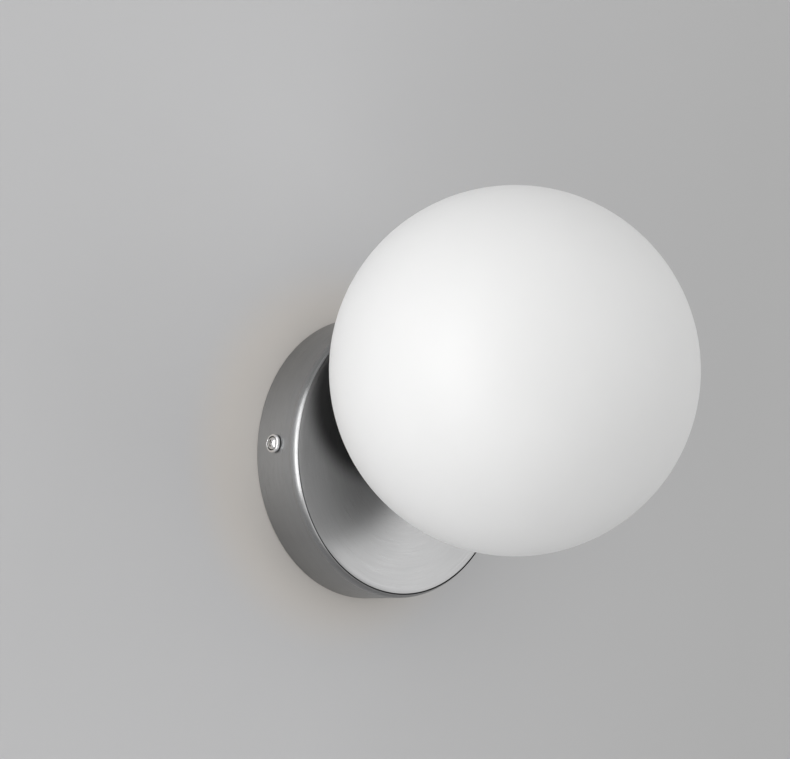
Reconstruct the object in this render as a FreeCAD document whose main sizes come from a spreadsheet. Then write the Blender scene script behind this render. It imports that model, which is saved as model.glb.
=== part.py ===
import FreeCAD, Part
import os
import re

import Sketcher
from FreeCAD import Placement, Rotation, Vector

# Globe wall sconce: an opal glass globe screwed into a metal collar that sits off centre in a drawn canopy.
# The row frame has its origin at the canopy's centre on the wall, +Z up, +X to the right and the lamp along -Y.
# Each piece is drawn in a frame of its own whose Z is the depth out from the wall.

SIZES = [
    ("canopy_diameter", 120.0, "drawn steel pan, outside"),
    ("canopy_depth", 24.5, "wall to the canopy's face"),
    ("canopy_wall", 1.0, "sheet of the canopy"),
    ("canopy_edge", 1.5, "rounding between side and face"),
    ("globe_offset", 32.5, "canopy axis to globe axis"),
    ("globe_turned", 18.0, "degrees from straight up, towards the left"),
    ("globe_diameter", 150.0, "opal glass, outside"),
    ("globe_wall", 3.0, "blown glass"),
    ("globe_gap", 0.5, "globe to the canopy's face, at their closest"),
    ("neck_diameter", 38.0, "glass neck, outside"),
    ("neck_rim", 0.9, "fire-polished rounding of the neck's rim"),
    ("neck_root", 2.0, "rounding inside, where the neck meets the globe"),
    ("neck_play", 0.4, "neck to the collar's bore"),
    ("neck_end_gap", 2.0, "neck's rim to the collar's floor"),
    ("collar_wall", 2.0, "turned collar round the neck"),
    ("collar_floor", 1.5, "floor that carries the lampholder"),
    ("collar_back", 10.5, "wall to the back of the collar"),
    ("flange_diameter", 49.0, "collar's flange on the canopy's face"),
    ("flange_thickness", 1.5, "flange"),
    ("flange_chamfer", 0.5, "front edge of the flange"),
    ("floor_hole_diameter", 12.0, "hole for the lampholder's boss and leads"),
    ("collar_hole_play", 0.3, "collar to the hole in the canopy"),
    ("nut_diameter", 51.0, "ring nut behind the canopy"),
    ("nut_thickness", 3.0, "ring nut"),
    ("nut_play", 0.05, "ring nut's thread on the collar"),
    ("nut_notch", 4.0, "width of the spanner notches"),
    ("nut_notch_depth", 1.2, "depth of the spanner notches"),
    ("seal_diameter", 46.0, "silicone ring under the glass shoulder"),
    ("seal_play", 0.3, "silicone ring to the glass"),
    ("bracket_width", 16.0, "crossbar"),
    ("bracket_sheet", 1.5, "steel of the crossbar"),
    ("bracket_play", 0.3, "ear to the inside of the canopy"),
    ("ear_reach", 16.0, "wall to the tip of the ears"),
    ("ear_corner", 3.0, "rounded corners of the ears"),
    ("bend_radius", 1.5, "outside of the bend below each ear"),
    ("slot_spacing", 70.0, "fixing slots, centre to centre"),
    ("slot_width", 4.5, "fixing slots"),
    ("slot_length", 14.0, "fixing slots, end to end"),
    ("hub_diameter", 40.0, "round middle of the crossbar"),
    ("cable_hole_diameter", 16.0, "hole for the supply cable"),
    ("tab_width", 26.0, "tab that carries the terminal block"),
    ("tab_reach", 42.0, "canopy axis down to the tab's end"),
    ("earth_x", 14.5, "earth screw from the centre"),
    ("earth_collar", 1.5, "height of the drawn collar under the earth screw"),
    ("earth_collar_wall", 1.6, "wall of that collar"),
    ("grommet_bore", 9.0, "way through for the cable"),
    ("grommet_flange", 1.8, "thickness of the grommet's flange"),
    ("grommet_lip", 2.0, "flange beyond the cable hole"),
    ("grommet_play", 0.1, "grommet in the cable hole"),
    ("side_screw_depth", 11.2, "wall to the side screws' axis"),
    ("side_screw_diameter", 3.0, "side screw's thread"),
    ("side_screw_length", 8.0, "side screw, from the washer's top"),
    ("side_head_diameter", 5.2, "raised countersunk head"),
    ("side_head_dome", 0.9, "rise of the head above the washer"),
    ("side_hole_play", 0.3, "side screw in the washer and the canopy"),
    ("thread_play", 0.05, "any threaded shank in its hole"),
    ("cup_diameter", 7.8, "cup washer"),
    ("cup_height", 1.8, "cup washer"),
    ("cup_round", 1.0, "outer rounding of the cup washer"),
    ("cup_floor", 0.4, "flat land under the cup's cone"),
    ("cup_gap", 0.1, "cup washer to the canopy"),
    ("head_gap", 0.05, "head to the cup's cone"),
    ("recess_width", 0.8, "arms of the cross recess"),
    ("recess_span", 2.8, "across the cross recess"),
    ("recess_depth", 0.9, "cross recess"),
    ("holder_diameter", 17.0, "ceramic lampholder"),
    ("holder_flats", 15.0, "across the lampholder's flats"),
    ("holder_length", 20.0, "ceramic lampholder"),
    ("holder_boss", 10.0, "round boss behind the lampholder"),
    ("holder_chamfer", 0.8, "front edge of the lampholder"),
    ("strap_sheet", 1.0, "steel strap under the lampholder"),
    ("strap_length", 30.0, "strap"),
    ("strap_width", 10.0, "strap"),
    ("strap_lug_width", 6.0, "lugs that grip the lampholder"),
    ("strap_lug_reach", 9.0, "lugs, from the strap"),
    ("strap_play", 0.1, "strap's hole round the boss"),
    ("holder_screw_spacing", 25.0, "lampholder screws"),
    ("holder_screw_diameter", 3.0, "lampholder screws"),
    ("holder_head_diameter", 5.4, "lampholder screws"),
    ("holder_head_height", 1.8, "lampholder screws"),
    ("pin_spacing", 9.0, "the two bulb pins"),
    ("pin_wire", 0.8, "wire of each looped pin"),
    ("pin_loop", 1.6, "between the two wires of a loop"),
    ("pin_length", 6.3, "pins beyond the bulb's tongue"),
    ("tongue_width", 13.0, "bulb's tongue"),
    ("tongue_thickness", 4.6, "bulb's tongue"),
    ("tongue_length", 8.0, "bulb's tongue"),
    ("tongue_play", 0.3, "tongue in the lampholder"),
    ("contact_width", 3.2, "spring contact across the loop"),
    ("contact_sheet", 0.5, "leaf of the spring contact"),
    ("contact_length", 7.0, "spring contact"),
    ("contact_play", 0.15, "pin between the leaves"),
    ("cavity_play", 0.1, "contact in its cavity"),
    ("bulb_diameter", 17.0, "cover of the bulb"),
    ("bulb_base_diameter", 18.0, "base of the bulb"),
    ("bulb_base_length", 12.0, "base of the bulb"),
    ("bulb_base_taper", 1.2, "how much narrower the base starts"),
    ("bulb_length", 50.0, "base and cover together"),
    ("bulb_wall", 1.0, "cover of the bulb"),
    ("bulb_rest_gap", 0.3, "bulb's base to the lampholder"),
    ("core_diameter", 9.0, "column that carries the light chips"),
    ("core_length", 30.0, "column that carries the light chips"),
    ("terminal_pitch", 10.0, "poles of the terminal block"),
    ("terminal_height", 17.0, "terminal block, up and down"),
    ("terminal_depth", 13.0, "terminal block, out from the tab"),
    ("terminal_foot", 7.0, "lower step of the terminal block"),
    ("terminal_step", 2.5, "how far the foot stands out beyond the towers"),
    ("terminal_top", 20.5, "canopy axis down to the terminal block"),
    ("terminal_groove", 1.2, "grooves between the poles"),
    ("terminal_groove_depth", 4.0, "grooves between the poles"),
    ("clamp_diameter", 5.2, "brass clamp tube"),
    ("clamp_bore", 3.6, "brass clamp tube"),
    ("clamp_end_gap", 1.0, "tube's ends inside the housing"),
    ("clamp_axis", 4.6, "tab to the clamp's axis"),
    ("clamp_play", 0.1, "tube in the housing"),
    ("clamp_screw_spacing", 7.0, "two screws in each pole"),
    ("clamp_screw_diameter", 2.6, "clamp screws"),
    ("clamp_screw_length", 5.4, "clamp screws"),
    ("clamp_screw_play", 0.3, "clamp screws in the housing"),
    ("block_screw_diameter", 3.0, "screw that holds the terminal block"),
    ("block_head_diameter", 5.0, "screw that holds the terminal block"),
    ("block_head_height", 2.0, "screw that holds the terminal block"),
    ("block_screw_play", 0.2, "that screw in the housing"),
    ("earth_screw_diameter", 4.0, "earth screw"),
    ("earth_head_diameter", 7.4, "earth screw"),
    ("earth_head_height", 2.6, "earth screw"),
    ("earth_washer_diameter", 8.4, "toothed washer"),
    ("earth_washer_sheet", 0.8, "toothed washer"),
    ("earth_washer_play", 0.2, "toothed washer round its screw"),
    ("earth_tooth", 1.2, "width of the washer's notches"),
    ("slot_cut", 0.8, "screwdriver slots"),
    ("slot_cut_depth", 0.7, "screwdriver slots"),
    ("tip_gap", 0.2, "screw tips to the wall"),
]

doc = FreeCAD.newDocument("globe_wall_sconce")
sheet = doc.addObject("Spreadsheet::Sheet", "sizes")
for row, (word, number, meaning) in enumerate(SIZES, start=1):
    sheet.set(f"A{row}", word)
    sheet.set(f"B{row}", str(number))
    sheet.set(f"C{row}", meaning)
    sheet.setAlias(f"B{row}", word)
doc.recompute()
WORDS = {word for word, number, meaning in SIZES}

# Radii and depths that follow from the sizes, kept as formulas so that every piece stays tied to the sheet.
CANOPY_R = "(canopy_diameter / 2)"
AXIS_X = "(-globe_offset * sin(globe_turned))"
AXIS_Z = "(globe_offset * cos(globe_turned))"
GLOBE_R = "(globe_diameter / 2)"
GLOBE_DEPTH = f"(canopy_depth + globe_gap + {GLOBE_R})"
NECK_R = "(neck_diameter / 2)"
NECK_BORE_R = f"({NECK_R} - globe_wall)"
FLOOR_DEPTH = "(collar_back + collar_floor)"
BORE_R = f"({NECK_R} + neck_play)"
COLLAR_R = f"({BORE_R} + collar_wall)"
FLANGE_DEPTH = "(canopy_depth + flange_thickness)"
SCREW_R = "(side_screw_diameter / 2)"
SEAT_DEPTH = f"({FLOOR_DEPTH} + strap_sheet)"
HOLDER_FRONT = f"({SEAT_DEPTH} + holder_length)"
BULB_DEPTH = f"({HOLDER_FRONT} + bulb_rest_gap)"
CAVITY_R = "(contact_width / 2 + cavity_play)"
LEAF_GAP = "(pin_wire + 2 * contact_play)"
CONTACT_T = f"({LEAF_GAP} + 2 * contact_sheet)"
TERMINAL_Y = "(-terminal_top - terminal_height / 2)"
TERMINAL_WIDTH = "(3 * terminal_pitch)"
EARTH_SEAT = "(bracket_sheet + earth_collar)"

# Two places closer than this, in mm, count as one, and a cut has to take away more than this.
SAME_PLACE = 1e-4

# The piece's own Z points out from the wall, along the row's -Y.
FROM_WALL = Rotation(Vector(1, 0, 0), 90)
LEFT_OUT = Rotation(Vector(0, 1, 0), -90)
RIGHT_OUT = Rotation(Vector(0, 1, 0), 90)


def full(formula):
    """The formula with the sheet's name put before each of its words."""
    return re.sub(r"[a-z_]+", lambda found: "sizes." + found[0] if found[0] in WORDS else found[0], str(formula))


def value(formula):
    """The number that a formula gives now."""
    result = sheet.evalExpression(full(formula))
    return float(getattr(result, "Value", result))


def bind(thing, **formulas):
    """Ties properties of an object to formulas; two underscores stand for a dot."""
    for name, formula in formulas.items():
        thing.setExpression(name.replace("__", "."), full(formula))


def place(thing, turn=FROM_WALL, x="0", depth="0", up="0"):
    """Stands a piece at its place in the row's frame and ties that place to the sheet."""
    thing.Placement = Placement(Vector(value(x), -value(depth), value(up)), turn)
    bind(thing, Placement__Base__x=x, Placement__Base__y=f"-({depth})", Placement__Base__z=up)
    return thing


def new_body(label):
    """An empty body under the name of its piece."""
    body = doc.addObject("PartDesign::Body", label)
    body.Label = label
    return body


def new_sketch(body, plane, at="0"):
    """A sketch on one of the body's own origin planes, moved along the plane's normal."""
    sketch = body.newObject("Sketcher::SketchObject", f"{body.Name}_sketch")
    origin = [item for item in body.Origin.OriginFeatures if item.Role == plane][0]
    sketch.AttachmentSupport = (origin, [""])
    sketch.MapMode = "FlatFace"
    bind(sketch, AttachmentOffset__Base__z=at)
    return sketch


def hold(sketch, geometry, point, x, y):
    """Holds a sketch point at formulas for its two coordinates; None leaves one to the other constraints."""
    for kind, axis, formula in (("DistanceX", -2, x), ("DistanceY", -1, y)):
        if formula is None:
            continue
        if formula == "0":
            sketch.addConstraint(Sketcher.Constraint("PointOnObject", geometry, point, axis))
            continue
        number = value(formula)
        ends = (-1, 1, geometry, point) if number >= 0 else (geometry, point, -1, 1)
        sign = "" if number >= 0 else "-"
        index = sketch.addConstraint(Sketcher.Constraint(kind, *ends, abs(number)))
        sketch.setExpression(f"Constraints[{index}]", full(f"{sign}({formula})"))


def outline(sketch, points, arcs=None):
    """A closed outline through the points; arcs gives centre and radius for the lines that are arcs."""
    arcs = arcs or {}
    spots = [Vector(value(x), value(y), 0) for x, y in points]
    count = len(points)
    start = sketch.GeometryCount
    for i, spot in enumerate(spots):
        after = spots[(i + 1) % count]
        if i not in arcs:
            sketch.addGeometry(Part.LineSegment(spot, after), False)
            continue
        depth, radius = value(arcs[i][0]), value(arcs[i][1])
        middle = (spot + after) / 2 - Vector(0, depth, 0)
        middle = middle.normalize() * radius + Vector(0, depth, 0)
        sketch.addGeometry(Part.Arc(spot, middle, after), False)
    for i in range(count):
        after = (i + 1) % count
        end = 2 if i not in arcs or not backwards(sketch, start + i, spots[i]) else 1
        first = 1 if after not in arcs or not backwards(sketch, start + after, spots[after]) else 2
        sketch.addConstraint(Sketcher.Constraint("Coincident", start + i, end, start + after, first))
    for i, (x, y) in enumerate(points):
        first = 1 if i not in arcs or not backwards(sketch, start + i, spots[i]) else 2
        touches_arc = i in arcs or (i - 1) % count in arcs
        hold(sketch, start + i, first, x, None if touches_arc else y)
    for i, (depth, radius) in arcs.items():
        hold(sketch, start + i, 3, "0", depth)
        index = sketch.addConstraint(Sketcher.Constraint("Radius", start + i, value(radius)))
        sketch.setExpression(f"Constraints[{index}]", full(radius))


def backwards(sketch, geometry, spot):
    """Whether an arc was stored from its far end."""
    return sketch.getPoint(geometry, 1).distanceToPoint(spot) > SAME_PLACE


def rectangle(sketch, left, right, low, high):
    """A rectangle between four formulas."""
    outline(sketch, [(left, low), (right, low), (right, high), (left, high)])


def circle(sketch, x, y, radius):
    """A circle held by its centre and radius."""
    geometry = sketch.addGeometry(Part.Circle(Vector(value(x), value(y), 0), Vector(0, 0, 1), value(radius)), False)
    hold(sketch, geometry, 3, x, y)
    index = sketch.addConstraint(Sketcher.Constraint("Radius", geometry, value(radius)))
    sketch.setExpression(f"Constraints[{index}]", full(radius))


def pad(body, sketch, length, down=False):
    """Material from a sketch, out from the wall or towards it."""
    feature = body.newObject("PartDesign::Pad", f"{body.Name}_pad")
    feature.Profile = sketch
    feature.Reversed = down
    bind(feature, Length=length)
    doc.recompute()
    return feature


def pocket(body, sketch, length=None):
    """A cut from a sketch towards the wall, or right through both ways when no length is given."""
    before = body.Shape.Volume
    feature = body.newObject("PartDesign::Pocket", f"{body.Name}_pocket")
    feature.Profile = sketch
    if length is None:
        feature.Type = "ThroughAll"
        feature.Midplane = True
    else:
        bind(feature, Length=length)
    doc.recompute()
    if body.Shape.Volume > before - SAME_PLACE:
        raise ValueError(f"{body.Label}: a pocket cuts nothing")
    return feature


def revolve(body, points, arcs=None):
    """A full turn of an outline in radius and depth about the piece's own Z."""
    sketch = new_sketch(body, "XZ_Plane")
    outline(sketch, points, arcs)
    feature = body.newObject("PartDesign::Revolution", f"{body.Name}_turned")
    feature.Profile = sketch
    feature.ReferenceAxis = (sketch, ["V_Axis"])
    feature.Angle = 360
    doc.recompute()
    return feature


def edges_where(shape, test):
    """Names of the edges that pass a test."""
    return [f"Edge{i}" for i, edge in enumerate(shape.Edges, start=1) if test(edge)]


def ring_edges(radius, depth):
    """A test for the round edge of that radius at that depth."""
    r, z = value(radius), value(depth)

    def test(edge):
        if edge.Degenerated or edge.Curve.TypeId != "Part::GeomCircle":
            return False
        return abs(edge.Curve.Radius - r) < SAME_PLACE and abs(edge.Curve.Center.z - z) < SAME_PLACE
    return test


def dress(body, kind, test, **sizes):
    """A fillet or chamfer on the edges that pass a test."""
    base = body.Tip
    names = edges_where(base.Shape, test)
    if not names:
        raise ValueError(f"{body.Label}: no edge for the {kind}")
    feature = body.newObject(f"PartDesign::{kind}", f"{body.Name}_{kind}")
    feature.Base = (base, names)
    bind(feature, **sizes)
    doc.recompute()
    return feature


def primitive(kind, name, turn=Rotation(), x="0", y="0", z="0", **sizes):
    """A box, cylinder, sphere or torus with its sizes and place tied to the sheet."""
    thing = doc.addObject(f"Part::{kind}", name)
    thing.Placement = Placement(Vector(value(x), value(y), value(z)), turn)
    bind(thing, Placement__Base__x=x, Placement__Base__y=y, Placement__Base__z=z, **sizes)
    return thing


def centred_box(name, width, height, length, x="0", y="0", z="0"):
    """A box centred on x and y that starts at z."""
    return primitive("Box", name, x=f"{x} - ({width}) / 2", y=f"{y} - ({height}) / 2", z=z,
                     Length=width, Width=height, Height=length)


def cut(name, base, tool):
    """One shape less another."""
    thing = doc.addObject("Part::Cut", name)
    thing.Base = base
    thing.Tool = tool
    return thing


def fuse(name, shapes):
    """Shapes joined into one."""
    thing = doc.addObject("Part::MultiFuse", name)
    thing.Shapes = shapes
    return thing


def group(label, shapes):
    """Separate solids that share one node."""
    thing = doc.addObject("Part::Compound", label)
    thing.Label = label
    thing.Links = shapes
    return thing


def slotted_screw(name, head, head_height, shank, length, x="0", y="0", z="0"):
    """A cheese-head screw with its seat at z, its shank towards the wall and a straight slot."""
    top = primitive("Cylinder", f"{name}_head", x=x, y=y, z=z, Radius=f"{head} / 2", Height=head_height)
    stem = primitive("Cylinder", f"{name}_stem", x=x, y=y, z=f"{z} - ({length})",
                     Radius=f"{shank} / 2", Height=length)
    blade = centred_box(f"{name}_slot", f"2 * {head}", "slot_cut", "2 * slot_cut_depth",
                        x=x, y=y, z=f"{z} + {head_height} - slot_cut_depth")
    return cut(f"{name}_screw", fuse(f"{name}_blank", [top, stem]), blade)


def canopy():
    """Drawn sheet pan, open towards the wall, with the eccentric collar hole and a hole at each side."""
    body = new_body("canopy")
    inner = f"({CANOPY_R} - canopy_wall)"
    floor = "(canopy_depth - canopy_wall)"
    revolve(body, [("0", "canopy_depth"), (CANOPY_R, "canopy_depth"), (CANOPY_R, "0"), (inner, "0"),
                   (inner, floor), ("0", floor)])
    dress(body, "Fillet", ring_edges(CANOPY_R, "canopy_depth"), Radius="canopy_edge")
    dress(body, "Chamfer", ring_edges(inner, floor), Size="max(canopy_edge - canopy_wall; 0.2)")
    hole = new_sketch(body, "XY_Plane")
    circle(hole, AXIS_X, AXIS_Z, f"{COLLAR_R} + collar_hole_play")
    pocket(body, hole)
    sides = new_sketch(body, "YZ_Plane")
    circle(sides, "0", "side_screw_depth", f"{SCREW_R} + side_hole_play")
    pocket(body, sides)
    return place(body)


def mounting_bracket():
    """Stamped crossbar: two ears bent out for the side screws, fixing slots, a hub and a terminal tab."""
    body = new_body("mounting_bracket")
    half = f"(sqrt(({CANOPY_R} - canopy_wall)^2 - (bracket_width / 2)^2) - bracket_play)"
    bar = new_sketch(body, "XY_Plane")
    rectangle(bar, f"-{half}", half, "-bracket_width / 2", "bracket_width / 2")
    pad(body, bar, "bracket_sheet")
    hub = new_sketch(body, "XY_Plane")
    circle(hub, "0", "0", "hub_diameter / 2")
    pad(body, hub, "bracket_sheet")
    tab = new_sketch(body, "XY_Plane")
    rectangle(tab, "-tab_width / 2", "tab_width / 2", "-tab_reach", "-bracket_width / 4")
    pad(body, tab, "bracket_sheet")
    for outer, inner in ((f"-{half}", f"-({half} - bracket_sheet)"), (half, f"({half} - bracket_sheet)")):
        ear = new_sketch(body, "XY_Plane")
        rectangle(ear, outer, inner, "-bracket_width / 2", "bracket_width / 2")
        pad(body, ear, "ear_reach")
    collar = new_sketch(body, "XY_Plane")
    circle(collar, "earth_x", "0", "earth_screw_diameter / 2 + earth_collar_wall")
    pad(body, collar, EARTH_SEAT)

    end_x, tip_z = value(half), value("ear_reach")

    def bend_edge(edge):
        box = edge.BoundBox
        return abs(abs(box.Center.x) - end_x) < SAME_PLACE and max(box.XLength, box.ZMax) < SAME_PLACE

    def ear_corner_edge(edge):
        box = edge.BoundBox
        return abs(box.ZMin - tip_z) < SAME_PLACE and max(box.YLength, box.ZLength) < SAME_PLACE

    dress(body, "Fillet", bend_edge, Radius="bend_radius")
    dress(body, "Fillet", ear_corner_edge, Radius="ear_corner")

    holes = new_sketch(body, "XY_Plane")
    circle(holes, "0", "0", "cable_hole_diameter / 2")
    circle(holes, "earth_x", "0", "earth_screw_diameter / 2 + thread_play")
    circle(holes, "terminal_pitch / 2", TERMINAL_Y, "block_screw_diameter / 2 + thread_play")
    pocket(body, holes)
    run = "(slot_length - slot_width) / 2"
    middles = new_sketch(body, "XY_Plane")
    ends = new_sketch(body, "XY_Plane")
    for side in ("-slot_spacing / 2", "slot_spacing / 2"):
        rectangle(middles, f"{side} - {run}", f"{side} + {run}", "-slot_width / 2", "slot_width / 2")
        circle(ends, f"{side} - {run}", "0", "slot_width / 2")
        circle(ends, f"{side} + {run}", "0", "slot_width / 2")
    pocket(body, middles)
    pocket(body, ends)
    taps = new_sketch(body, "YZ_Plane")
    circle(taps, "0", "side_screw_depth", f"{SCREW_R} + thread_play")
    pocket(body, taps)
    return place(body)


def cable_grommet():
    """Rubber bush that lines the cable hole in the crossbar."""
    body = new_body("cable_grommet")
    bore, hole = "grommet_bore / 2", "cable_hole_diameter / 2"
    top = "(bracket_sheet + grommet_flange)"
    revolve(body, [(bore, "0"), (f"{hole} - grommet_play", "0"), (f"{hole} - grommet_play", "bracket_sheet"),
                   (f"{hole} + grommet_lip", "bracket_sheet"), (f"{hole} + grommet_lip", top), (bore, top)])
    dress(body, "Chamfer", ring_edges(f"{hole} + grommet_lip", top), Size="grommet_flange / 2")
    return place(body)


def side_washer(label, turn, x):
    """Turned cup washer: a rounded rim and a cone that the screw's head sinks into."""
    body = new_body(label)
    bore = f"({SCREW_R} + side_hole_play)"
    mouth = "(side_head_diameter / 2 + head_gap)"
    revolve(body, [(bore, "0"), ("cup_diameter / 2", "0"), ("cup_diameter / 2", "cup_height"),
                   (mouth, "cup_height"), (bore, "cup_floor")])
    dress(body, "Fillet", ring_edges("cup_diameter / 2", "cup_height"), Radius="cup_round")
    return place(body, turn, x=x, depth="side_screw_depth")


def side_screw(label, turn, x):
    """Raised countersunk screw with a cross recess; it turns in the ear's thread."""
    body = new_body(label)
    head = "(side_head_diameter / 2)"
    shank = SCREW_R
    dome_r = f"(({head}^2 + side_head_dome^2) / (2 * side_head_dome))"
    top = "(cup_height + side_head_dome)"
    cone_low = f"(cup_height - ({head} - {shank}) * (cup_height - cup_floor) / " \
               f"({head} + head_gap - {SCREW_R} - side_hole_play))"
    revolve(body, [("0", top), (head, "cup_height"), (shank, cone_low),
                   (shank, "cup_height - side_screw_length"), ("0", "cup_height - side_screw_length")],
            arcs={0: (f"({top} - {dome_r})", dome_r)})
    for long_way, short_way in (("recess_span", "recess_width"), ("recess_width", "recess_span")):
        arm = new_sketch(body, "XY_Plane", at=top)
        rectangle(arm, f"-{long_way} / 2", f"{long_way} / 2", f"-{short_way} / 2", f"{short_way} / 2")
        pocket(body, arm, "recess_depth")
    return place(body, turn, x=x, depth="side_screw_depth")


def fitter_collar():
    """Turned collar: a flange on the canopy's face, a bore for the glass neck and a floor for the lampholder."""
    body = new_body("fitter_collar")
    hole, flange = "floor_hole_diameter / 2", "flange_diameter / 2"
    revolve(body, [(hole, "collar_back"), (COLLAR_R, "collar_back"), (COLLAR_R, "canopy_depth"),
                   (flange, "canopy_depth"), (flange, FLANGE_DEPTH), (BORE_R, FLANGE_DEPTH),
                   (BORE_R, FLOOR_DEPTH), (hole, FLOOR_DEPTH)])
    dress(body, "Chamfer", ring_edges(flange, FLANGE_DEPTH), Size="flange_chamfer")
    taps = new_sketch(body, "XY_Plane")
    for side in ("-holder_screw_spacing / 2", "holder_screw_spacing / 2"):
        circle(taps, side, "0", "holder_screw_diameter / 2 + thread_play")
    pocket(body, taps)
    return place(body, x=AXIS_X, up=AXIS_Z)


def fitter_ring_nut():
    """Ring nut that draws the collar's flange against the canopy, with four spanner notches."""
    body = new_body("fitter_ring_nut")
    inner, outer = f"({COLLAR_R} + nut_play)", "(nut_diameter / 2)"
    back = "(canopy_depth - canopy_wall - nut_thickness)"
    front = "(canopy_depth - canopy_wall)"
    revolve(body, [(inner, back), (outer, back), (outer, front), (inner, front)])
    notch = new_sketch(body, "XY_Plane", at=front)
    rectangle(notch, f"{outer} - nut_notch_depth", f"{outer} + nut_notch_depth", "-nut_notch / 2", "nut_notch / 2")
    first = pocket(body, notch, "nut_thickness")
    pattern = body.newObject("PartDesign::PolarPattern", "fitter_ring_nut_notches")
    pattern.Originals = [first]
    pattern.Axis = (notch, ["N_Axis"])
    pattern.Angle = 360
    pattern.Occurrences = 4
    body.Tip = pattern
    doc.recompute()
    return place(body, x=AXIS_X, up=AXIS_Z)


def globe_seal():
    """Silicone ring between the flange and the glass shoulder, its front cut to the slope of the globe."""
    body = new_body("globe_seal")
    inner, outer = f"({NECK_R} + seal_play)", "(seal_diameter / 2)"

    def under_glass(radius):
        return f"({GLOBE_DEPTH} - sqrt({GLOBE_R}^2 - {radius}^2) - seal_play)"
    revolve(body, [(inner, FLANGE_DEPTH), (outer, FLANGE_DEPTH), (outer, under_glass(outer)),
                   (inner, under_glass(inner))])
    return place(body, x=AXIS_X, up=AXIS_Z)


def globe():
    """Blown opal globe with a straight neck behind it that screws into the collar."""
    body = new_body("globe")
    inside = f"({GLOBE_R} - globe_wall)"
    rim = f"({FLOOR_DEPTH} + neck_end_gap)"
    outer_root = f"({GLOBE_DEPTH} - sqrt({GLOBE_R}^2 - {NECK_R}^2))"
    inner_root = f"({GLOBE_DEPTH} - sqrt({inside}^2 - {NECK_BORE_R}^2))"
    revolve(body, [("0", f"({GLOBE_DEPTH} + {GLOBE_R})"), (NECK_R, outer_root), (NECK_R, rim),
                   (NECK_BORE_R, rim), (NECK_BORE_R, inner_root), ("0", f"({GLOBE_DEPTH} + {inside})")],
            arcs={0: (GLOBE_DEPTH, GLOBE_R), 4: (GLOBE_DEPTH, inside)})
    dress(body, "Fillet", ring_edges(NECK_BORE_R, inner_root), Radius="neck_root")
    dress(body, "Fillet", ring_edges(NECK_R, rim), Radius="neck_rim")
    dress(body, "Fillet", ring_edges(NECK_BORE_R, rim), Radius="neck_rim")
    return place(body, x=AXIS_X, up=AXIS_Z)


def lampholder_body():
    """Ceramic holder: a round body with two flats, a slot for the bulb's tongue and two contact cavities."""
    body = new_body("lampholder_body")
    drum = new_sketch(body, "XY_Plane")
    circle(drum, "0", "0", "holder_diameter / 2")
    pad(body, drum, "holder_length")
    dress(body, "Chamfer", ring_edges("holder_diameter / 2", "holder_length"), Size="holder_chamfer")
    boss = new_sketch(body, "XY_Plane")
    circle(boss, "0", "0", "holder_boss / 2")
    pad(body, boss, "strap_sheet + collar_floor", down=True)
    for low, high in (("holder_flats / 2", "holder_diameter"), ("-holder_diameter", "-holder_flats / 2")):
        flat = new_sketch(body, "XY_Plane", at="holder_length")
        rectangle(flat, "-holder_diameter", "holder_diameter", low, high)
        pocket(body, flat, "holder_length")
    for low, high in (("holder_flats / 2 - strap_sheet", "holder_diameter"),
                      ("-holder_diameter", "-holder_flats / 2 + strap_sheet")):
        groove = new_sketch(body, "XY_Plane", at="strap_lug_reach")
        rectangle(groove, "-holder_diameter", "holder_diameter", low, high)
        pocket(body, groove, "strap_sheet")
    mouth = new_sketch(body, "XY_Plane", at="holder_length")
    half_w, half_t = "(tongue_width / 2 + tongue_play)", "(tongue_thickness / 2 + tongue_play)"
    rectangle(mouth, f"-{half_w}", half_w, f"-{half_t}", half_t)
    pocket(body, mouth, "tongue_length + tongue_play")
    for side in ("-pin_spacing / 2", "pin_spacing / 2"):
        cavity = new_sketch(body, "XY_Plane", at="holder_length - tongue_length")
        rectangle(cavity, f"{side} - {CAVITY_R}", f"{side} + {CAVITY_R}",
                  f"-{CONTACT_T} / 2 - cavity_play", f"{CONTACT_T} / 2 + cavity_play")
        pocket(body, cavity, "tongue_play + contact_length + cavity_play")
    return place(body, x=AXIS_X, depth=SEAT_DEPTH, up=AXIS_Z)


def lampholder_contacts():
    """Two spring contacts, each a folded strip whose leaves take one looped pin between them."""
    clips = []
    for name, side in (("left", "-pin_spacing / 2"), ("right", "pin_spacing / 2")):
        base = "(holder_length - tongue_length - tongue_play - contact_length)"
        strip = centred_box(f"contact_{name}_strip", "contact_width", CONTACT_T, "contact_length", x=side, z=base)
        gap = centred_box(f"contact_{name}_gap", "2 * contact_width", LEAF_GAP, "contact_length",
                          x=side, z=f"{base} + contact_sheet")
        clips.append(cut(f"contact_{name}", strip, gap))
    return place(group("lampholder_contacts", clips), x=AXIS_X, depth=SEAT_DEPTH, up=AXIS_Z)


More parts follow.
